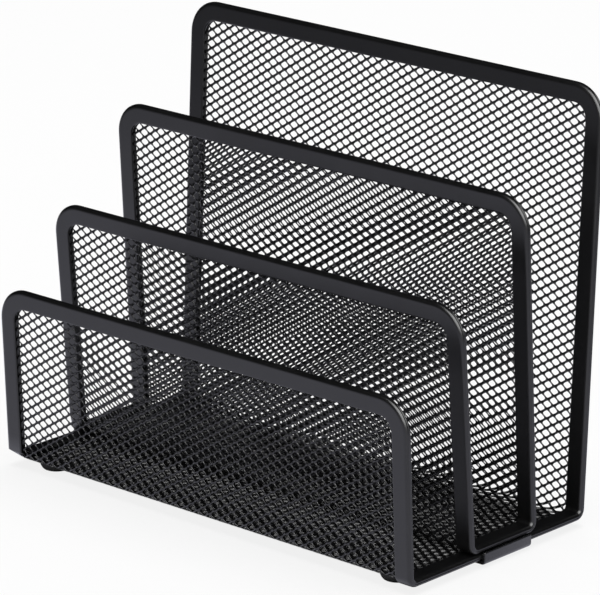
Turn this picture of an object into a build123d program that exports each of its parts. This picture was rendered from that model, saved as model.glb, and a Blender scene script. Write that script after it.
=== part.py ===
from build123d import *

import os
from math import cos, hypot, isclose, radians, sin, tan

# Desk letter rack of painted expanded metal: two U-shaped mesh sheets, one standing inside the other,
# each edged with a folded steel strip. X runs along the panels, Y from front to back and Z up.
# The origin is on the desk, under the middle of the rack.

# Overall sizes, in millimetres and degrees. Heights are above the underside of the outer rim.
rack_width = 170.0
base_depth = 79.3
front_height = 58.9
second_height = 81.5
third_height = 108.7
back_height = 135.8
second_setback = 28.0
third_setback = 56.7
front_lean = 2.45
second_lean = 4.45
third_lean = 3.1
back_lean = 2.8

# Folded rim strip
rim_width = 5.0
rim_thickness = 2.4
rim_edge_bevel = 0.6
corner_radius = 11.0
fold_radius = 2.4
seam_width = 0.4
seam_depth = 0.35

# Mesh sheet, drawn with fewer and larger openings than the real expanded metal
mesh_gauge = 0.6
mesh_grip = 2.5
mesh_clearance = 0.05
opening_length = 30.0
opening_height = 19.6
strand_width = 1.8

# Clips that hold the inner sheet down at both ends
clip_length = 21.8
clip_gauge = 1.2
clip_lip = 3.4
clip_rise = 0.5

# Feet under the corners of the base
foot_diameter = 11.0
foot_tread_diameter = 8.6
foot_standoff = 2.0
foot_end_inset = 13.0
foot_side_inset = 8.0

# Excess by which a cutting shape passes the surface that it cuts, and how far openings are cut each way
cut_margin = 0.2
cut_depth = fold_radius + mesh_gauge

# The rack is centred from front to back at its widest, the tops of the outer panels
half_width = rack_width / 2
window_half = half_width - rim_width
front_overhang = tan(radians(front_lean)) * front_height
back_overhang = tan(radians(back_lean)) * back_height
front_line = -(base_depth + back_overhang - front_overhang) / 2
back_line = front_line + base_depth
outer_base_level = foot_standoff + rim_thickness / 2
inner_base_level = outer_base_level + rim_thickness

os.makedirs("parts", exist_ok=True)


class FoldedSheet:
    """Middle line of a U-shaped sheet, in Y and Z, and the flat walls between its two folds.

    Each panel is given by the line where its middle plane meets the level of the outer rim's
    underside, its lean in degrees, positive to the back, and its height above that level.
    """

    def __init__(self, front, back, base_level):
        self.base_level = base_level
        self.front_top, self.front_fold = self.ends(*front)
        self.back_top, self.back_fold = self.ends(*back)
        self.front_up = (self.front_top - self.front_fold).normalized()
        self.back_up = (self.back_top - self.back_fold).normalized()
        inward = Vector(1, 0)
        self.front_setback, front_bend = self.bend(self.front_up.get_angle(inward))
        self.back_setback, back_bend = self.bend(self.back_up.get_angle(-inward))
        self.front_line_end = self.front_fold + self.front_up * self.front_setback
        self.back_line_end = self.back_fold + self.back_up * self.back_setback
        self.base_line = (
            self.front_fold + inward * self.front_setback,
            self.back_fold - inward * self.back_setback,
        )
        # Lengths on the flat sheet, from the front rim to the start of each wall and to the back rim
        front_length = (self.front_top - self.front_line_end).length - rim_width
        back_length = (self.back_top - self.back_line_end).length - rim_width
        self.base_distance = front_length + front_bend
        self.back_distance = self.base_distance + self.base_line[1].X - self.base_line[0].X + back_bend
        self.front_length = front_length
        self.back_length = back_length
        self.length = self.back_distance + back_length

    def ends(self, line, lean, height):
        """Top end of a panel's middle line and the point where it would meet the base's."""
        slope = tan(radians(lean))
        top = Vector(line + slope * height, foot_standoff + height)
        fold = Vector(line + slope * (self.base_level - foot_standoff), self.base_level)
        return top, fold

    def bend(self, corner_angle):
        """Setback and width of a flat across a corner that touches the fold's arc in its middle."""
        half_angle = radians(corner_angle) / 2
        setback = fold_radius * (1 / sin(half_angle) - 1) / cos(half_angle)
        return setback, 2 * setback * sin(half_angle)

    def plate(self, thickness, half_length, top_trim, radius, rounded=False):
        """Plate bent along the middle line, with its two top edges lowered and their corners rounded.

        Its folds are arcs if rounded, and otherwise flats across the corners.
        """
        front_end = self.front_top - self.front_up * top_trim
        back_end = self.back_top - self.back_up * top_trim
        with BuildPart(mode=Mode.PRIVATE) as bent:
            with BuildSketch(Plane.YZ):
                with BuildLine():
                    if rounded:
                        FilletPolyline(
                            front_end, self.front_fold, self.back_fold, back_end, radius=fold_radius
                        )
                    else:
                        Polyline(
                            front_end, self.front_line_end, *self.base_line, self.back_line_end, back_end
                        )
                trace(line_width=thickness)
            extrude(amount=half_length, both=True)
            corners = bent.edges().filter_by(lambda edge: isclose(edge.length, thickness, abs_tol=1e-4))
            fillet(corners, radius)
        return bent.part

    def wall_planes(self):
        """Planes on the three walls, each with local Y along the sheet from front top to back top."""
        front_edge = self.front_top - self.front_up * rim_width
        front_plane = Plane(
            origin=(0, front_edge.X, front_edge.Y),
            x_dir=(1, 0, 0),
            z_dir=(0, self.front_up.Y, -self.front_up.X),
        )
        base_plane = Plane(origin=(0, self.base_line[0].X, self.base_level))
        back_plane = Plane(
            origin=(0, self.back_line_end.X, self.back_line_end.Y),
            x_dir=(1, 0, 0),
            z_dir=(0, -self.back_up.Y, self.back_up.X),
        )
        return front_plane, base_plane, back_plane


def rim_strip(sheet):
    """Edge strip of a folded sheet: bevelled outside, open inside, slotted for the mesh, with a seam."""
    slot_depth = mesh_grip + mesh_clearance
    inner_radius = corner_radius - rim_width
    blank = sheet.plate(rim_thickness, half_width, 0, corner_radius, rounded=True)
    window = sheet.plate(
        rim_thickness + cut_margin, window_half, rim_width, inner_radius, rounded=True
    )
    slot = sheet.plate(
        mesh_gauge + 2 * mesh_clearance,
        window_half + slot_depth,
        rim_width - slot_depth,
        inner_radius + slot_depth,
    )
    seam = sheet.plate(
        seam_width, half_width + cut_margin, -cut_margin, corner_radius + cut_margin
    )
    seam_floor = sheet.plate(
        rim_thickness, half_width - seam_depth, seam_depth, corner_radius - seam_depth
    )
    with BuildPart(mode=Mode.PRIVATE) as strip:
        add(blank)
        outline = strip.edges().filter_by(
            lambda edge: not isclose(edge.length, rim_thickness, abs_tol=1e-4)
            and not isclose(edge.length, rack_width, abs_tol=1e-4)
        )
        chamfer(outline, rim_edge_bevel)
        add(window, mode=Mode.SUBTRACT)
        add(slot, mode=Mode.SUBTRACT)
        add(seam.cut(seam_floor), mode=Mode.SUBTRACT)
    return strip.part


def mesh_blank(sheet):
    """Whole mesh sheet before its openings are cut, reaching into the slot of the rim."""
    reach = rim_width - mesh_grip
    return sheet.plate(mesh_gauge, half_width - reach, reach, corner_radius - reach)


def openings(sheet, plane, start, low, high, whole_discs=()):
    """One wall's share of the diamond openings, laid out on the sheet before it is folded.

    start is the distance along the flat sheet from the front rim to the plane's origin, and low and
    high bound the wall on the plane. whole_discs are centres of round patches that stay uncut.
    """
    columns = max(1, round(2 * window_half / opening_length))
    rows = max(1, round(sheet.length / opening_height))
    half_long = window_half / columns
    half_short = sheet.length / rows / 2
    centres = [
        (column * half_long - window_half, row * half_short - start)
        for column in range(2 * columns + 1)
        for row in range(2 * rows + 1)
        if (column + row) % 2 == 0 and low - half_short < row * half_short - start < high + half_short
    ]
    reach = half_long * half_short / hypot(half_long, half_short)
    share = (reach - strand_width / 2) / reach
    with BuildSketch(plane.offset(-cut_depth), mode=Mode.PRIVATE) as pattern:
        with Locations(*centres):
            Polygon(
                (-share * half_long, 0),
                (0, -share * half_short),
                (share * half_long, 0),
                (0, share * half_short),
            )
        with Locations((0, (low + high) / 2)):
            Rectangle(2 * window_half, high - low, mode=Mode.INTERSECT)
        if whole_discs:
            with Locations(*whole_discs):
                Circle(foot_diameter / 2, mode=Mode.SUBTRACT)
    return pattern.sketch


outer_sheet = FoldedSheet(
    (front_line, -front_lean, front_height),
    (back_line, back_lean, back_height),
    outer_base_level,
)
inner_sheet = FoldedSheet(
    (front_line + second_setback, -second_lean, second_height),
    (front_line + third_setback, -third_lean, third_height),
    inner_base_level,
)

# Feet stand under the flat of the outer base
foot_x = half_width - foot_end_inset
foot_places = {
    "front_left": (-foot_x, front_line + foot_side_inset),
    "front_right": (foot_x, front_line + foot_side_inset),
    "back_left": (-foot_x, back_line - foot_side_inset),
    "back_right": (foot_x, back_line - foot_side_inset),
}
foot_patches = [(x, y - outer_sheet.base_line[0].X) for x, y in foot_places.values()]

# Rims
with BuildPart() as outer_rim:
    add(rim_strip(outer_sheet))
outer_rim.part.label = "outer_rim"
export_step(outer_rim.part, "parts/outer_rim.step")

with BuildPart() as inner_rim:
    add(rim_strip(inner_sheet))
inner_rim.part.label = "inner_rim"
export_step(inner_rim.part, "parts/inner_rim.step")

# Mesh sheets, each divided on its base just inside the folds
for name, sheet, patches in (("outer", outer_sheet, foot_patches), ("inner", inner_sheet, ())):
    blank = mesh_blank(sheet)
    front_plane, base_plane, back_plane = sheet.wall_planes()
    base_start = sheet.base_line[0].X + mesh_gauge
    base_end = sheet.base_line[1].X - mesh_gauge
    with BuildPart(mode=Mode.PRIVATE) as base_block:
        with Locations((0, (base_start + base_end) / 2, sheet.base_level)):
            Box(rack_width, base_end - base_start, 2 * mesh_gauge)
    front_half, back_half = blank.cut(base_block.part).solids().sort_by(Axis.Y)

    with BuildPart() as mesh_front:
        add(front_half)
        front_low = sheet.front_length + sheet.front_setback + mesh_gauge
        extrude(openings(sheet, front_plane, 0, 0, front_low), 2 * cut_depth, mode=Mode.SUBTRACT)
    mesh_front.part.label = f"{name}_mesh_front"
    export_step(mesh_front.part, f"parts/{name}_mesh_front.step")

    with BuildPart() as mesh_base:
        add(blank)
        add(base_block.part, mode=Mode.INTERSECT)
        base_low = base_start - sheet.base_line[0].X
        base_high = base_end - sheet.base_line[0].X
        base_holes = openings(sheet, base_plane, sheet.base_distance, base_low, base_high, patches)
        extrude(base_holes, 2 * cut_depth, mode=Mode.SUBTRACT)
    mesh_base.part.label = f"{name}_mesh_base"
    export_step(mesh_base.part, f"parts/{name}_mesh_base.step")

    with BuildPart() as mesh_back:
        add(back_half)
        back_low = -sheet.back_setback - mesh_gauge
        back_holes = openings(sheet, back_plane, sheet.back_distance, back_low, sheet.back_length)
        extrude(back_holes, 2 * cut_depth, mode=Mode.SUBTRACT)
    mesh_back.part.label = f"{name}_mesh_back"
    export_step(mesh_back.part, f"parts/{name}_mesh_back.step")

# Clips: a tab against both rims, turned in under the outer one
clip_place = front_line + (second_setback + third_setback) / 2
clip_plane = Plane(origin=(0, clip_place, 0), x_dir=(1, 0, 0), z_dir=(0, -1, 0))
clip_out = half_width + clip_gauge / 2
clip_low = foot_standoff - clip_gauge / 2
clip_high = foot_standoff + rim_thickness + clip_rise
with BuildPart() as clip_right:
    with BuildSketch(clip_plane):
        with BuildLine():
            FilletPolyline(
                (half_width - clip_lip, clip_low),
                (clip_out, clip_low),
                (clip_out, clip_high),
                radius=clip_gauge,
            )
        trace(line_width=clip_gauge)
    extrude(amount=clip_length / 2, both=True)
clip_right.part.label = "clip_right"
export_step(clip_right.part, "parts/clip_right.step")

with BuildPart() as clip_left:
    mirror(clip_right.part, about=Plane.YZ)
clip_left.part.label = "clip_left"
export_step(clip_left.part, "parts/clip_left.step")

# Feet: round pads stuck under the mesh, narrower where they meet the desk
foot_height = outer_base_level - mesh_gauge / 2
for place, (x, y) in foot_places.items():
    with BuildPart() as foot:
        with Locations((x, y, foot_height / 2)):
            Cone(foot_tread_diameter / 2, foot_diameter / 2, foot_height)
    foot.part.label = f"foot_{place}"
    export_step(foot.part, f"parts/foot_{place}.step")
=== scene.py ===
"""Looks of the mesh letter rack: folded rims, expanded-metal sheets, clips and feet on a white table."""
from math import cos, pi, radians, sin, tan

import bpy
import numpy as np
from mathutils import Matrix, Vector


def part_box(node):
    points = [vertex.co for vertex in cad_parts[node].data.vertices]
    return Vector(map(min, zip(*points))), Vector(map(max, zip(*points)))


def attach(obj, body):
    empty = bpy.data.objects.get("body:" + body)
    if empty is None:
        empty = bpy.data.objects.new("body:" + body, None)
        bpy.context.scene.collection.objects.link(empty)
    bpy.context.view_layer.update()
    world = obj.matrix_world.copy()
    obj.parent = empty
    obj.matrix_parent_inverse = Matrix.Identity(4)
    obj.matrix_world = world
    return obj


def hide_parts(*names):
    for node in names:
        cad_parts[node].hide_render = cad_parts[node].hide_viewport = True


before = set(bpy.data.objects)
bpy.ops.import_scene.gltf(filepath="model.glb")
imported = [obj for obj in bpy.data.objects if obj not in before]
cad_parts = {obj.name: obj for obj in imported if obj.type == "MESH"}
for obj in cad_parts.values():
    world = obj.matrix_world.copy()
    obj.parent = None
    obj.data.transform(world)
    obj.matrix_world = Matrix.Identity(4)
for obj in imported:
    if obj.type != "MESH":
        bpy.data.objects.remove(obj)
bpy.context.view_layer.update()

MM = 0.001

# Panels: where each stands along Y at the underside of the outer rim, how it leans and how high it is
rack_width = 170.0 * MM
base_depth = 79.3 * MM
front_height = 58.9 * MM
second_height = 81.5 * MM
third_height = 108.7 * MM
back_height = 135.8 * MM
second_setback = 28.0 * MM
third_setback = 56.7 * MM
front_lean = radians(2.45)
second_lean = radians(4.45)
third_lean = radians(3.1)
back_lean = radians(2.8)
foot_standoff = 2.0 * MM
overhang = tan(back_lean) * back_height - tan(front_lean) * front_height
front_line = -(base_depth + overhang) / 2

# Rims: strip folded over the edge of the mesh, with faces as wide as in the photograph
rim_width = 6.2 * MM
rim_thickness = 2.4 * MM
corner_radius = 11.0 * MM
fold_radius = 2.4 * MM
outer_edge_round = 1.4 * MM
inner_edge_round = 0.45 * MM
edge_flat = 0.18 * MM
slot_half_width = 0.50 * MM
slot_depth = 2.55 * MM
outer_round_points = 9
inner_round_points = 5
inner_edge_wear = 0.6
points_down_runs = (12, 10, 14, 10, 22)
points_across = 24
points_round_corner = 14
outer_base_level = foot_standoff + rim_thickness / 2
inner_base_level = outer_base_level + rim_thickness

# Seam along the rim's outer edge; it opens where the edge faces sideways and closes away from the tops
seam_half_width = 0.17 * MM
seam_depth = 0.55 * MM
seam_floor_inset = 0.03 * MM
seam_lip_inset = 0.02 * MM
seam_lip_share = 0.8
seam_shut_facing = 0.55
seam_open_facing = 0.90
seam_least_gape = 0.3
seam_fade = 38.0 * MM

# Expanded metal: cells measured from centre to corner, and the strands round their openings
cell_half_length = 2.45 * MM
cell_half_height = 1.55 * MM
strand_half_width = 0.315 * MM
strand_crown = 0.27 * MM
strand_shoulder = 0.10 * MM
strand_tilt = 0.19 * MM
full_tilt_share = 0.35
steps_per_strand = 3
tip_blunting = 0.84
side_blunting = 0.93
corner_cell_reach = 0.9
same_point = 0.001 * MM
map_margin = 0.01
opening_wall_draw_in = 0.6
outer_side_draw_in = 0.4

# Clips: bent tabs at both ends of the base
clip_length = 21.8 * MM
clip_gauge = 1.2 * MM
clip_lip = 3.4 * MM
clip_rise = 0.5 * MM
clip_bend = 0.9 * MM
clip_edge_round = 0.32 * MM
clip_lip_points = 4
clip_bend_points = 9
clip_web_points = 5
clip_end_points = 5
clip_corner_wear = (0.2, 0.7, 1.0, 1.0, 0.7, 0.2)

# Feet: round pads, narrower at the tread
foot_diameter = 11.0 * MM
foot_tread_diameter = 8.6 * MM
foot_tread_round = 0.5 * MM
foot_tread_rise = 0.05
foot_top_round = 0.12 * MM
foot_swell_power = 0.8
foot_climb_power = 1.15
foot_side_points = 13
foot_turn_points = 56

# Black paint: noise in lumps a metre, where edges are rubbed, and how far tone, roughness and relief vary
cloud_scale = 60.0
speck_scale = 1500.0
peel_scale = 900.0
cloud_share = 0.6
rub_starts = 0.42
rub_full = 0.62
rub_tone_share = 0.55
rub_polish = 0.06
thick_film_tone = 0.75
thick_film_blue = 0.08
thin_film_tone = 1.25
thin_film_blue = 0.16
worn_blue = 0.06
cloud_roughness = 0.16
speck_roughness = 0.1
speck_relief = 0.4
peel_strength = 0.35
paint_specular = 0.5

# Rubber: noise in lumps a metre, dusty patches and pits
dust_scale = 220.0
pit_scale = 2600.0
dust_starts = 0.35
dust_full = 0.8
rubber_tone = 0.012
dust_tone = 0.034
rubber_roughness = 0.72
dust_roughness = 0.3
pit_depth = 0.05 * MM
pit_strength = 0.5
rubber_specular = 0.35

# Table: its painted shade under the rack, whose seen edge lies further in at the front and right, and its
# brightness
table_reach = 8.0
table_tone = 0.92
painted_shade_tone = 0.22
painted_shade_edge = 4.0 * MM
painted_shade_seen_inset = 8.5 * MM
seen_white_share = 0.85
# Painted glow seen only in the paint's gloss: bluish white within the first distance of the table's middle,
# dim grey past the second
painted_glow_bright_within = 0.22
painted_glow_dim_beyond = 0.60
painted_glow_bright = (0.98, 0.15)
painted_glow_dim = (0.25, 0.03)

# Room: how bright it is to the camera, on matt surfaces and in the paint
room_seen = 1.0
room_matt = 0.5
room_mirrored = 0.008

# Camera of the photograph
camera_azimuth = radians(42.36)
camera_elevation = radians(17.59)
camera_aim = np.array([-11.2, 14.4, 58.5]) * MM
camera_distance = 1380.0 * MM
camera_lens = 264.3
camera_sensor = 36.0
camera_sight = 50.0


class Shade:
    """A value in a shader tree; arithmetic on it adds Math nodes."""

    def __init__(self, finish, socket):
        self.finish = finish
        self.socket = socket

    def _maths(self, operation, first, second):
        return self.finish.node("ShaderNodeMath", {"operation": operation}, {0: first, 1: second})

    def __add__(self, other):
        return self._maths("ADD", self, other)

    def __sub__(self, other):
        return self._maths("SUBTRACT", self, other)

    def __rsub__(self, other):
        return self._maths("SUBTRACT", other, self)

    def __mul__(self, other):
        return self._maths("MULTIPLY", self, other)

    __radd__ = __add__
    __rmul__ = __mul__


class Finish:
    """A shader tree being written."""

    def __init__(self, owner):
        owner.use_nodes = True
        self.owner = owner
        self.tree = owner.node_tree
        self.tree.nodes.clear()

    def node(self, kind, settings=None, sockets=None, output=0):
        """Adds a node, sets its settings, then its sockets' values or links, and returns one output."""
        node = self.tree.nodes.new(kind)
        for name, value in (settings or {}).items():
            setattr(node, name, value)
        for name, value in (sockets or {}).items():
            if isinstance(value, Shade):
                self.tree.links.new(value.socket, node.inputs[name])
            else:
                node.inputs[name].default_value = value
        return Shade(self, node.outputs[output]) if node.outputs else node

    def vector(self, operation, *places, output=0):
        """Vector maths on one or two places."""
        return self.node("ShaderNodeVectorMath", {"operation": operation}, dict(enumerate(places)), output)

    def noise(self, place, scale, detail=2.0, roughness=0.5):
        """Cloudy value about 0.5, with a lump about one metre over scale in size."""
        sockets = {"Vector": place, "Scale": scale, "Detail": detail, "Roughness": roughness}
        return self.node("ShaderNodeTexNoise", None, sockets)

    def mix(self, amount, first, second):
        """Colour between two."""
        settings = {"data_type": "RGBA"}
        return self.node("ShaderNodeMix", settings, {0: amount, 6: first, 7: second}, 2)

    def ramp(self, value, low, high):
        """Eased step from 0 at low to 1 at high."""
        settings = {"interpolation_type": "SMOOTHSTEP"}
        return self.node("ShaderNodeMapRange", settings, {"Value": value, "From Min": low, "From Max": high})

    def relief(self, height, depth, strength):
        """Normal bumped by a height."""
        return self.node("ShaderNodeBump", None, {"Strength": strength, "Distance": depth, "Height": height})

    def glow(self, colour):
        """Shader that shows a colour as it is written, whatever the light."""
        return self.node("ShaderNodeEmission", None, {"Color": colour, "Strength": 1.0})

    def either(self, amount, first, second):
        """Shader between two."""
        return self.node("ShaderNodeMixShader", None, {0: amount, 1: first, 2: second})

    def coat(self, colour, roughness, normal, specular):
        """Principled surface of the finish; returns its material."""
        sockets = {
            "Base Color": colour,
            "Roughness": roughness,
            "Normal": normal,
            "Specular IOR Level": specular,
        }
        return self.surface(self.node("ShaderNodeBsdfPrincipled", None, sockets))

    def surface(self, shader, output="ShaderNodeOutputMaterial"):
        """Ends the tree with a shader; returns the material or world."""
        self.node(output, None, {"Surface": shader})
        return self.owner


def grey(level, blue=0.0):
    """Neutral colour, with a little more blue where asked."""
    return (level, level, level + blue, 1.0)


def satin_paint(name, dark, worn, roughness, peel):
    """Black stoved paint: cloudy tone, fine orange peel, and edges where the film is thin and rubbed.

    The attribute edge is 1 on rounded edges and crowns and 0 on flats. An edge is rubbed where a blend of
    the coarse and the fine noise is high. The tone runs from the thick film's to the thin film's with the
    coarse noise and towards worn where rubbed. Roughness is its mean plus both noises' swing, less where
    rubbed.
    """
    finish = Finish(bpy.data.materials.new(name))
    place = finish.node("ShaderNodeTexCoord", output="Object")
    edge = finish.node("ShaderNodeAttribute", {"attribute_name": "edge"}, None, "Fac")
    cloud = finish.noise(place, cloud_scale, detail=4.0, roughness=0.6)
    speck = finish.noise(place, speck_scale)
    lumps = finish.noise(place, peel_scale, detail=1.0)
    rubbed = edge * finish.ramp(cloud * cloud_share + speck * (1 - cloud_share), rub_starts, rub_full)
    thick = grey(dark * thick_film_tone, dark * thick_film_blue)
    thin = grey(dark * thin_film_tone, dark * thin_film_blue)
    film = finish.mix(cloud, thick, thin)
    colour = finish.mix(rubbed * rub_tone_share, film, grey(worn, worn * worn_blue))
    swing = (cloud - 0.5) * cloud_roughness + (speck - 0.5) * speck_roughness
    bump = finish.relief(lumps + speck * speck_relief, peel, peel_strength)
    return finish.coat(colour, roughness + swing - rubbed * rub_polish, bump, paint_specular)


def foot_rubber(name):
    """Matt black rubber: dull, finely pitted, with paler dusty patches where a coarse noise is high."""
    finish = Finish(bpy.data.materials.new(name))
    place = finish.node("ShaderNodeTexCoord", output="Object")
    dust = finish.noise(place, dust_scale, detail=4.0, roughness=0.65)
    pits = finish.noise(place, pit_scale)
    colour = finish.mix(finish.ramp(dust, dust_starts, dust_full), grey(rubber_tone), grey(dust_tone))
    roughness = rubber_roughness + (dust - 0.5) * dust_roughness
    return finish.coat(colour, roughness, finish.relief(pits, pit_depth, pit_strength), rubber_specular)


class FoldedSheet:
    """A U-shaped sheet, addressed as if laid flat.

    x runs along the panels, s along the sheet from the top of its front panel, under the base and up to the
    top of its back panel, and w is the height above its middle surface, towards the inside of the U. In Y
    and Z the sheet is straight, arc, straight, arc, straight. A point t along a run that starts at p with
    heading h and curvature k is p plus a chord of length t sin(kt/2)/(kt/2) in the direction h + kt/2.
    """

    def __init__(self, front, back, base_level):
        corners = [self.at(front, front[2] + foot_standoff), self.at(front, base_level)]
        corners += [self.at(back, base_level), self.at(back, back[2] + foot_standoff)]
        legs = np.diff(np.array(corners), axis=0)
        lengths = np.hypot(legs[:, 0], legs[:, 1])
        headings = np.arctan2(legs[:, 1], legs[:, 0])
        turns = np.diff(headings)
        trim = fold_radius * np.tan(turns / 2)
        runs = np.array([
            lengths[0] - trim[0],
            fold_radius * turns[0],
            lengths[1] - trim.sum(),
            fold_radius * turns[1],
            lengths[2] - trim[1],
        ])
        self.heading = headings[[0, 0, 1, 1, 2]]
        self.curve = np.array([0, 1, 0, 1, 0]) / fold_radius
        self.start = np.concatenate([[0.0], np.cumsum(runs)])
        self.length = self.start[-1]
        chord = runs * np.sinc(self.curve * runs / (2 * pi))
        along = self.heading + self.curve * runs / 2
        steps = np.stack([chord * np.cos(along), chord * np.sin(along)], axis=1)
        gone = np.concatenate([np.zeros((1, 2)), np.cumsum(steps, axis=0)[:-1]])
        self.origin = np.array(corners[0]) + gone

    @staticmethod
    def at(panel, level):
        """Y and Z of a panel's middle at a level; a panel is its line, lean and height."""
        line, lean, _ = panel
        return line + tan(lean) * (level - foot_standoff), level

    def lay(self, x, s, w):
        """Points in space for flat positions x, s and heights w."""
        x, s, w = np.broadcast_arrays(x, s, w)
        run = np.clip(np.searchsorted(self.start, s, side="right") - 1, 0, 4)
        t = s - self.start[run]
        turn = self.curve[run] * t
        chord = t * np.sinc(turn / (2 * pi))
        along = self.heading[run] + turn / 2
        facing = self.heading[run] + turn
        y = self.origin[run, 0] + chord * np.cos(along) - w * np.sin(facing)
        z = self.origin[run, 1] + chord * np.sin(along) + w * np.cos(facing)
        return np.stack([x, y, z], axis=-1)


def grid_faces(rows, columns, close_rows):
    """Quads of a grid of points whose columns close on themselves, and whose rows may."""
    i, j = np.meshgrid(np.arange(rows - (not close_rows)), np.arange(columns), indexing="ij")
    below, beside = (i + 1) % rows, (j + 1) % columns
    faces = [i * columns + j, below * columns + j, below * columns + beside, i * columns + beside]
    return np.stack(faces, axis=-1).reshape(-1, 4)


def add_piece(name, points, faces, finish, node, edge=0.0):
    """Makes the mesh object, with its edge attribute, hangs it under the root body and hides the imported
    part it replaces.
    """
    mesh = bpy.data.meshes.new(name)
    mesh.from_pydata(points.reshape(-1, 3), [], faces, shade_flat=False)
    mesh.materials.append(finish)
    values = np.broadcast_to(edge, points.shape[:-1]).astype(np.float32).ravel()
    mesh.attributes.new("edge", "FLOAT", "POINT").data.foreach_set("value", values)
    mesh.update()
    piece = bpy.data.objects.new(name, mesh)
    bpy.context.collection.objects.link(piece)
    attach(piece, "root")
    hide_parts(node)
    return piece


def rim_section():
    """Closed outline of the folded strip: q inward from the outer edge, w across its thickness.

    The upper half runs from the seam, round a quarter ellipse to the face, over the face, round a quarter
    circle and into the mesh slot. The lower half is its mirror image. Also returns where the seam is, for
    its depth, and how far each point is worn.
    """
    half = rim_thickness / 2
    seam = np.array([[seam_floor_inset, 0.0], [seam_lip_inset, seam_lip_share * seam_half_width]])
    turn = np.linspace(0, pi / 2, outer_round_points)
    outer = np.stack([
        outer_edge_round * (1 - np.cos(turn)),
        seam_half_width + (half - seam_half_width) * np.sin(turn),
    ], axis=1)
    face = np.array([[outer_edge_round + edge_flat, half], [rim_width - inner_edge_round - edge_flat, half]])
    turn = np.linspace(pi / 2, 0, inner_round_points)
    inner = np.stack([
        rim_width - inner_edge_round + inner_edge_round * np.cos(turn),
        half - inner_edge_round + inner_edge_round * np.sin(turn),
    ], axis=1)
    slot = np.array([
        [rim_width, slot_half_width],
        [rim_width - slot_depth, slot_half_width],
        [rim_width - slot_depth, 0.0],
    ])
    upper = np.concatenate([seam, outer, face, inner, slot])
    worn = np.concatenate([
        np.zeros(len(seam)),
        np.sin(np.linspace(0, pi, outer_round_points)),
        np.zeros(len(face)),
        np.full(inner_round_points, inner_edge_wear),
        np.zeros(len(slot)),
    ])
    outline = np.concatenate([upper, upper[-2:0:-1] * [1, -1]])
    in_seam = np.zeros(len(outline))
    in_seam[0] = 1.0
    return outline, in_seam, np.concatenate([worn, worn[-2:0:-1]])


def rim_path(sheet):
    """Middle points and outward angles of the rounded rectangle round the flat sheet, counterclockwise."""
    inset_x = rack_width / 2 - corner_radius
    ends = np.array([corner_radius, *sheet.start[1:-1], sheet.length - corner_radius])
    low, high = ends[0], ends[-1]
    runs = zip(ends, ends[1:], points_down_runs)
    side = np.concatenate([np.linspace(a, b, count, endpoint=False) for a, b, count in runs])
    across = np.linspace(inset_x, -inset_x, points_across, endpoint=False)
    bend = np.linspace(0, pi / 2, points_round_corner, endpoint=False)
    stretches = [
        (inset_x, side, 0.0),
        (inset_x, high, bend),
        (across, high, pi / 2),
        (-inset_x, high, pi / 2 + bend),
        (-inset_x, low + high - side, pi),
        (-inset_x, low, pi + bend),
        (-across, low, 1.5 * pi),
        (inset_x, low, 1.5 * pi + bend),
    ]
    return np.concatenate([np.stack(np.broadcast_arrays(*stretch), axis=-1) for stretch in stretches])


def add_rim(name, sheet, finish):
    """Folded strip: its section carried round the rounded rectangle, then bent with the sheet.

    The seam is deepest past the top corners and closes down the sides; along the top edges it is shut. Its
    gape is a ramp on how far the edge faces sideways, times a share that falls off away from the tops.
    """
    path = rim_path(sheet)
    section, in_seam, worn = rim_section()
    mid_x, mid_s, angle = (column[:, None] for column in path.T)
    from_top = np.minimum(mid_s, sheet.length - mid_s)
    sideways = (np.abs(np.cos(angle)) - seam_shut_facing) / (seam_open_facing - seam_shut_facing)
    near_top = seam_least_gape + (1 - seam_least_gape) * np.exp(-from_top / seam_fade)
    gape = np.clip(sideways, 0, 1) * near_top
    reach = corner_radius - (section[:, 0] + gape * in_seam * seam_depth)
    points = sheet.lay(mid_x + reach * np.cos(angle), mid_s + reach * np.sin(angle), section[:, 1])
    faces = grid_faces(len(path), len(section), True)
    return add_piece(f"{name}_strip", points, faces, finish, name, worn)


def cell_rings():
    """Middle line of the strands round one opening, and the opening's outline.

    Both run counterclockwise from a long end. The middle line is the cell's rhombus. The opening is the
    rhombus drawn in by half a strand, with its tips drawn in further, so that they are blunt.
    """
    tips = np.array([[1, 0], [0, 1], [-1, 0], [0, -1], [1, 0]]) * [cell_half_length, cell_half_height]
    share = np.arange(steps_per_strand) / steps_per_strand
    middle = (tips[:-1, None] + (tips[1:] - tips[:-1])[:, None] * share[:, None]).reshape(-1, 2)
    breadth = cell_half_length * cell_half_height / np.hypot(cell_half_length, cell_half_height)
    opening = middle * (1 - strand_half_width / breadth)
    opening[:: 2 * steps_per_strand] *= tip_blunting
    opening[steps_per_strand :: 2 * steps_per_strand] *= side_blunting
    return middle, opening


def cell_grid(sheet):
    """Places on the flat sheet where cells may be centred, by column and row, and which of them are.

    Cells stand at every second place, as on a chessboard. The outermost centres lie on the rim's inner edge,
    so that each sheet ends inside the rim's slot, and those far past the rim's round corners are left out.
    """
    half = rack_width / 2 - rim_width
    columns = round(half / cell_half_length)
    rows = round((sheet.length - 2 * rim_width) / cell_half_height)
    column, row = np.meshgrid(np.arange(-columns, columns + 1), np.arange(rows + 1), indexing="ij")
    x = column * half / columns
    s = rim_width + row * (sheet.length - 2 * rim_width) / rows
    bend = corner_radius - rim_width
    past_x = np.maximum(np.abs(x) - (half - bend), 0)
    past_s = np.maximum(np.abs(s - sheet.length / 2) - (sheet.length / 2 - corner_radius), 0)
    inside = np.hypot(past_x, past_s) < bend + corner_cell_reach * cell_half_height
    return x, s, inside & ((column + row) % 2 == 0)


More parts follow.
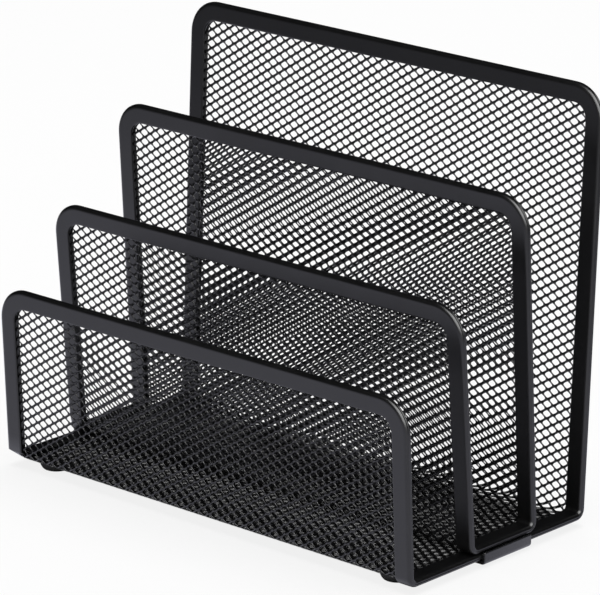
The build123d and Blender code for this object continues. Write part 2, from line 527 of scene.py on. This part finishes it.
def add_mesh_wall(name, sheet, low, high, finish):
    """Expanded metal between two places along the sheet: every cell is a ring of sloping strand halves.

    Each strand's section is a flat hexagon: crowned along its middle line, lower at the opening's edge. As
    the sheet was stretched its strands turned, so the two long sides of an opening lie above and below the
    sheet. Cells share the points on their middle lines. Where a cell has no neighbour, its outer side is
    closed.
    """
    x, s, exists = cell_grid(sheet)
    exists &= (s >= low) & (s < high)
    column, row = np.nonzero(exists)
    centre = np.stack([x[exists], s[exists]], axis=1)
    middle, opening = cell_rings()
    count = len(middle)
    flat = centre[:, None] + np.concatenate([middle, opening, opening, middle])
    tilt = -strand_tilt * np.clip(opening[:, 1] / (full_tilt_share * cell_half_height), -1, 1)
    level = np.full(count, strand_crown)
    height = np.concatenate([level, tilt + strand_shoulder, tilt - strand_shoulder, -level])
    height = np.broadcast_to(height, flat.shape[:2])
    points = sheet.lay(flat[..., 0], flat[..., 1], height)

    here = np.arange(count)
    then = (here + 1) % count
    front, lip, heel, back = here, here + count, here + 2 * count, here + 3 * count
    front_then, lip_then, heel_then, back_then = then, then + count, then + 2 * count, then + 3 * count
    ring = np.concatenate([
        np.stack([front, front_then, lip_then, lip], axis=1),
        np.stack([lip, lip_then, heel_then, heel], axis=1),
        np.stack([back_then, back, heel, heel_then], axis=1),
    ])
    outside = np.stack([back, back_then, front_then, front], axis=1).reshape(4, steps_per_strand, 4)
    padded = np.pad(exists, 1)
    ways = ((1, 1), (-1, 1), (-1, -1), (1, -1))
    beside = np.stack([padded[column + 1 + right, row + 1 + up] for right, up in ways])
    cell, side = np.nonzero(~beside.T)
    first = np.arange(len(centre)) * 4 * count
    faces = np.concatenate([
        (first[:, None, None] + ring).reshape(-1, 4),
        (first[cell][:, None, None] + outside[side]).reshape(-1, 4),
    ])

    key = np.round(np.concatenate([flat, height[..., None]], axis=2) / same_point)
    _, kept, shared = np.unique(key.reshape(-1, 3), axis=0, return_index=True, return_inverse=True)
    crown = np.broadcast_to(np.repeat([1.0, 0.0, 0.0, 1.0], count), flat.shape[:2]).ravel()[kept]
    points = points.reshape(-1, 3)[kept]
    piece = add_piece(f"{name}_wire", points, shared.ravel()[faces], finish, name, crown)
    add_flat_map(piece, flat, centre, ring, outside[side], cell)
    return piece


def flat_map(flat, centre, draw_in, half):
    """Texture places of a wall's points: the flat sheet, drawn in to each cell's centre, on half the map."""
    low, high = flat.min(axis=(0, 1)), flat.max(axis=(0, 1))
    drawn = centre[:, None] + (flat - centre[:, None]) * draw_in
    place = map_margin + (1 - 2 * map_margin) * (drawn - low) / (high - low)
    place[..., 0] = (place[..., 0] + half) / 2
    return place


def add_flat_map(piece, flat, centre, ring, sides, cell):
    """Lays the wall out for texture: front on the left half, back on the right, walls in the openings."""
    count = flat.shape[1] // 4
    draw_in = np.repeat([1.0, 1.0, opening_wall_draw_in, 1.0], count)[:, None]
    front = flat_map(flat, centre, draw_in, 0)
    behind = flat_map(flat, centre, 1.0, 1)
    tucked = flat_map(flat, centre, outer_side_draw_in, 1)
    rings = np.concatenate([front[:, ring[: 2 * count]], behind[:, ring[2 * count :]]], axis=1)
    outer = tucked[cell[:, None, None], sides]
    places = np.concatenate([rings.reshape(-1, 2), outer.reshape(-1, 2)])
    layer = piece.data.uv_layers.new(name="OFBake")
    layer.data.foreach_set("uv", places.astype(np.float32).ravel())


def add_clip(name, side, finish):
    """Bent tab: a round-edged flat section carried along a J in X and Z, drawn in at both ends.

    The J is a flat lip under the rim, a quarter circle and an upright web. Over a quarter turn at each end
    the section shrinks by the edge's radius as the path runs on, which rounds that end.
    """
    half = clip_gauge / 2
    level = foot_standoff - half
    top = outer_base_level + rim_thickness / 2 + clip_rise
    web_x = rack_width / 2 + half
    turn = np.linspace(0, pi / 2, clip_bend_points)[1:-1]
    lip_x = np.linspace(rack_width / 2 - clip_lip, web_x - clip_bend, clip_lip_points)
    web_z = np.linspace(level + clip_bend, top, clip_web_points)
    bend_x = web_x - clip_bend + clip_bend * np.sin(turn)
    bend_z = level + clip_bend * (1 - np.cos(turn))
    path_x = np.concatenate([lip_x, bend_x, np.full(clip_web_points, web_x)])
    path_z = np.concatenate([np.full(clip_lip_points, level), bend_z, web_z])
    heading = np.concatenate([np.zeros(clip_lip_points), turn, np.full(clip_web_points, pi / 2)])

    last = len(path_x) - 1
    steps = np.linspace(0, pi / 2, clip_end_points)
    draw_in = clip_edge_round * (1 - np.sin(steps))
    ahead = clip_edge_round * (1 - np.cos(steps))
    inset = np.concatenate([draw_in, np.zeros(last - 1), draw_in[::-1]])
    shift = np.concatenate([ahead, np.zeros(last - 1), -ahead[::-1]])
    at = np.repeat(np.arange(last + 1), [clip_end_points, *[1] * (last - 1), clip_end_points])
    facing = heading[at]
    x = path_x[at] + shift * np.cos(facing)
    z = path_z[at] + shift * np.sin(facing)

    corner = np.linspace(0, pi / 2, len(clip_corner_wear))
    quarter = np.stack([np.cos(corner), np.sin(corner)], axis=1) * clip_edge_round
    reach = np.array([clip_length / 2 - clip_edge_round, half - clip_edge_round])
    signs = ((1, 1), (-1, 1), (-1, -1), (1, -1))
    rounds = [(reach + quarter[:: across * off]) * [across, off] for across, off in signs]
    ring = np.concatenate(rounds)[::-1]
    scaled = ring[None] * (1 - inset[:, None, None] / [clip_length / 2, half])
    across, off = scaled[..., 0], scaled[..., 1]
    middle_y = front_line + (second_setback + third_setback) / 2
    points = np.stack([
        side * (x[:, None] - np.sin(facing)[:, None] * off),
        middle_y + across,
        z[:, None] + np.cos(facing)[:, None] * off,
    ], axis=-1)
    rows, columns = points.shape[:2]
    caps = [list(range(columns))[::-1], list(range((rows - 1) * columns, rows * columns))]
    faces = grid_faces(rows, columns, False).tolist() + caps
    if side < 0:
        faces = [face[::-1] for face in faces]
    worn = np.tile(clip_corner_wear, (rows, len(signs)))
    return add_piece(f"{name}_tab", points, faces, finish, name, worn)


def add_foot(name, finish):
    """Moulded pad: its side profile turned about its own axis.

    From the tread the side rounds out, swells to the full width and rounds in to the top that is stuck on.
    The radius grows with a power of the sine of the climb, and the height with a power of the climb.
    """
    low, high = (np.array(corner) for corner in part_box(name))
    middle = (low + high) / 2
    tall = high[2] - low[2]
    wide, tread = foot_diameter / 2, foot_tread_diameter / 2
    climb = np.linspace(0, 1, foot_side_points)
    radius = tread + (wide - tread) * np.sin(climb * pi / 2) ** foot_swell_power
    radius[-1] -= foot_top_round
    rise = foot_tread_rise + (1 - foot_tread_rise) * climb ** foot_climb_power
    profile_r = np.concatenate([[tread - foot_tread_round], radius])
    profile_z = np.concatenate([[0.0], low[2] + tall * rise])
    angle = np.linspace(0, 2 * pi, foot_turn_points, endpoint=False)[:, None]
    x = middle[0] + profile_r * np.cos(angle)
    y = middle[1] + profile_r * np.sin(angle)
    points = np.stack(np.broadcast_arrays(x, y, profile_z), axis=-1)
    rows, columns = points.shape[:2]
    sides = grid_faces(rows, columns, True).reshape(rows, columns, 4)[:, :-1].reshape(-1, 4)
    tread_ring = np.arange(rows) * columns
    caps = [tread_ring[::-1].tolist(), (tread_ring + columns - 1).tolist()]
    return add_piece(f"{name}_pad", points, sides.tolist() + caps, finish, name)


def ray_kinds(finish):
    """1 for rays from the camera, off gloss and through clear things, in that order, and 0 for others."""
    outputs = finish.node("ShaderNodeLightPath").socket.node.outputs
    return [Shade(finish, outputs[f"Is {kind} Ray"]) for kind in ("Camera", "Glossy", "Transmission")]


def beyond_painted_shade(finish, place, inset):
    """0 in the painted shade under the rack and 1 on the open table, with a soft edge between.

    It is a ramp on the distance beyond the rectangle of the base, whose front and right sides are moved in.
    """
    middle = (-inset / 2, front_line + (base_depth + inset) / 2, 0.0)
    corner = ((rack_width - painted_shade_edge - inset) / 2, (base_depth - painted_shade_edge - inset) / 2, 0.0)
    folded = finish.vector("ABSOLUTE", finish.vector("SUBTRACT", place, middle))
    beyond = finish.vector("MAXIMUM", finish.vector("SUBTRACT", folded, corner), (0.0, 0.0, 0.0))
    return finish.ramp(finish.vector("LENGTH", beyond, output="Value"), 0.0, painted_shade_edge)


def add_table():
    """White table top with painted shade under the rack, and a painted glow in gloss, bright near it and dim
    far off.
    """
    finish = Finish(bpy.data.materials.new("table_white_painted_shade_and_glow"))
    seen, mirrored, through = ray_kinds(finish)
    place = finish.node("ShaderNodeTexCoord", output="Object")
    away = finish.vector("LENGTH", place, output="Value")
    near = 1 - finish.ramp(away, painted_glow_bright_within, painted_glow_dim_beyond)
    # Painted shade under the rack: there the table's colour is darker, and neither its white to the eye nor
    # its glow in gloss shows
    clear_of_painted_shade = beyond_painted_shade(finish, place, 0.0)
    seen_clear_of_painted_shade = beyond_painted_shade(finish, place, painted_shade_seen_inset)
    colour = finish.mix(clear_of_painted_shade, grey(painted_shade_tone), grey(table_tone))
    matt = finish.node("ShaderNodeBsdfDiffuse", None, {"Color": colour})
    # Painted reflection: the table glows bluish white near the rack and dim far off, seen only in gloss
    mirror = finish.either(near, finish.glow(grey(*painted_glow_dim)), finish.glow(grey(*painted_glow_bright)))
    white_share = (seen + through) * seen_clear_of_painted_shade * seen_white_share
    plain = finish.either(white_share, matt, finish.glow(grey(1.0)))
    finish.surface(finish.either(mirrored * clear_of_painted_shade, plain, mirror))
    mesh = bpy.data.meshes.new("table")
    corners = np.array([(-1, -1, 0), (1, -1, 0), (1, 1, 0), (-1, 1, 0)]) * table_reach
    mesh.from_pydata(corners, [], [(0, 1, 2, 3)])
    mesh.materials.append(finish.owner)
    top = bpy.data.objects.new("table", mesh)
    bpy.context.collection.objects.link(top)


def add_room():
    """White to the camera, soft light on matt surfaces and a dim room in the paint."""
    world = bpy.data.worlds.new("room")
    bpy.context.scene.world = world
    finish = Finish(world)
    seen, mirrored, through = ray_kinds(finish)
    white = (seen + through) * (room_seen - room_matt)
    strength = room_matt + white - mirrored * (room_matt - room_mirrored)
    light = finish.node("ShaderNodeBackground", None, {"Color": grey(1.0), "Strength": strength})
    finish.surface(light, "ShaderNodeOutputWorld")


def facing_matrix(right, up, back, place):
    """Matrix of a lamp or camera at a place that looks away from back."""
    rows = np.stack([right, up, back, place], axis=1)
    return Matrix([*rows.tolist(), (0, 0, 0, 1)])


def add_lamp(name, place, target, size, power, matt, mirrored):
    """Square soft box that faces a point; it may be left out of the matt light or of the paint's gloss."""
    lamp = bpy.data.lights.new(name, "AREA")
    lamp.size = size
    lamp.energy = power
    box = bpy.data.objects.new(name, lamp)
    place, target = np.array(place), np.array(target)
    back = (place - target) / np.linalg.norm(place - target)
    right = np.cross([0, 0, 1], back)
    right = right / np.linalg.norm(right)
    box.matrix_world = facing_matrix(right, np.cross(back, right), back, place)
    box.visible_camera = False
    box.visible_diffuse = matt
    box.visible_glossy = mirrored
    bpy.context.collection.objects.link(box)


def add_camera():
    """Camera of the photograph: long lens, swung to the right of the front and a little above."""
    level = cos(camera_elevation)
    back = np.array([sin(camera_azimuth) * level, -cos(camera_azimuth) * level, sin(camera_elevation)])
    right = np.array([cos(camera_azimuth), sin(camera_azimuth), 0.0])
    lens = bpy.data.cameras.new("camera")
    lens.sensor_width = camera_sensor
    lens.sensor_fit = "HORIZONTAL"
    lens.lens = camera_lens
    lens.clip_end = camera_sight
    camera = bpy.data.objects.new("camera", lens)
    place = camera_aim + camera_distance * back
    camera.matrix_world = facing_matrix(right, np.cross(back, right), back, place)
    bpy.context.collection.objects.link(camera)
    bpy.context.scene.camera = camera


# The two folded sheets: the outer one from the front panel to the back one, the inner one between them
outer = FoldedSheet(
    (front_line, -front_lean, front_height),
    (front_line + base_depth, back_lean, back_height),
    outer_base_level,
)
inner = FoldedSheet(
    (front_line + second_setback, -second_lean, second_height),
    (front_line + third_setback, -third_lean, third_height),
    inner_base_level,
)

# Finishes
rim_finish = satin_paint("rim_satin_black", dark=0.0028, worn=0.010, roughness=0.34, peel=0.02 * MM)
mesh_finish = satin_paint("mesh_satin_black", dark=0.0030, worn=0.008, roughness=0.32, peel=0.03 * MM)
clip_finish = satin_paint("clip_satin_black", dark=0.0110, worn=0.035, roughness=0.24, peel=0.02 * MM)
foot_finish = foot_rubber("foot_matt_rubber")

# Pieces of the rack
for sheet, label in ((outer, "outer"), (inner, "inner")):
    add_rim(f"{label}_rim", sheet, rim_finish)
    limits = (0.0, sheet.start[2], sheet.start[3], sheet.length)
    for wall, low, high in zip(("front", "base", "back"), limits, limits[1:]):
        add_mesh_wall(f"{label}_mesh_{wall}", sheet, low, high, mesh_finish)
add_clip("clip_right", 1, clip_finish)
add_clip("clip_left", -1, clip_finish)
for corner in ("front_left", "front_right", "back_left", "back_right"):
    add_foot(f"foot_{corner}", foot_finish)

# Table, light and camera
add_table()
add_room()
rack_middle = (0.0, 0.0, 0.05)
add_lamp("key", (0.95, -0.95, 1.15), rack_middle, size=2.0, power=100.0, matt=False, mirrored=True)
add_lamp("top", (0.0, 0.2, 1.6), (0.0, 0.01, 0.0), size=1.2, power=15.0, matt=True, mirrored=False)
add_lamp("side", (1.5, 0.5, 0.7), rack_middle, size=0.8, power=4.0, matt=True, mirrored=False)
add_camera()
bpy.context.scene.view_settings.view_transform = "Standard"
